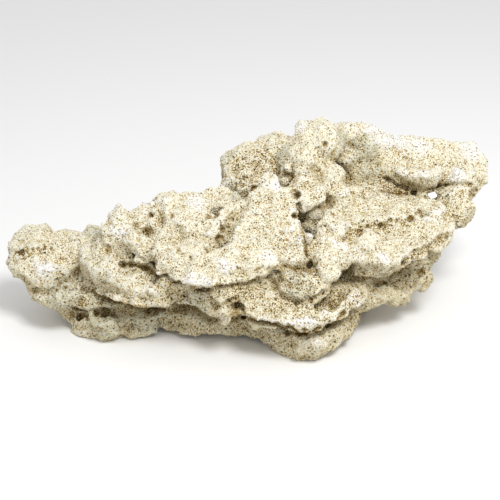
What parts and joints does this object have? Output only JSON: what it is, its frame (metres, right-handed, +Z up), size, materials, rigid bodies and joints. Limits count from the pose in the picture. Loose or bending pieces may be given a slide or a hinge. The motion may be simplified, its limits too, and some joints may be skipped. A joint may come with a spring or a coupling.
{
  "type": "dry reef rock",
  "caption": "Loose piece of dry, pitted reef limestone with overhanging ledges, a knob at one end and a tall back ridge with a hollow, for an aquascape.",
  "frame": {"origin": "middle of the rock's outline seen from above, at the level that it rests on", "axes": "+X along the rock's long side towards the end of the raised back slab, +Z up, and the ledges face -Y"},
  "size_m": [0.3226, 0.1576, 0.1218],
  "materials": {
    "dry_limestone": "matt, porous, cream to tan with grey-green shade in the lower parts"
  },
  "bodies": {
    "root": {"reef_rock": "dry_limestone"}
  },
  "joints": []
}
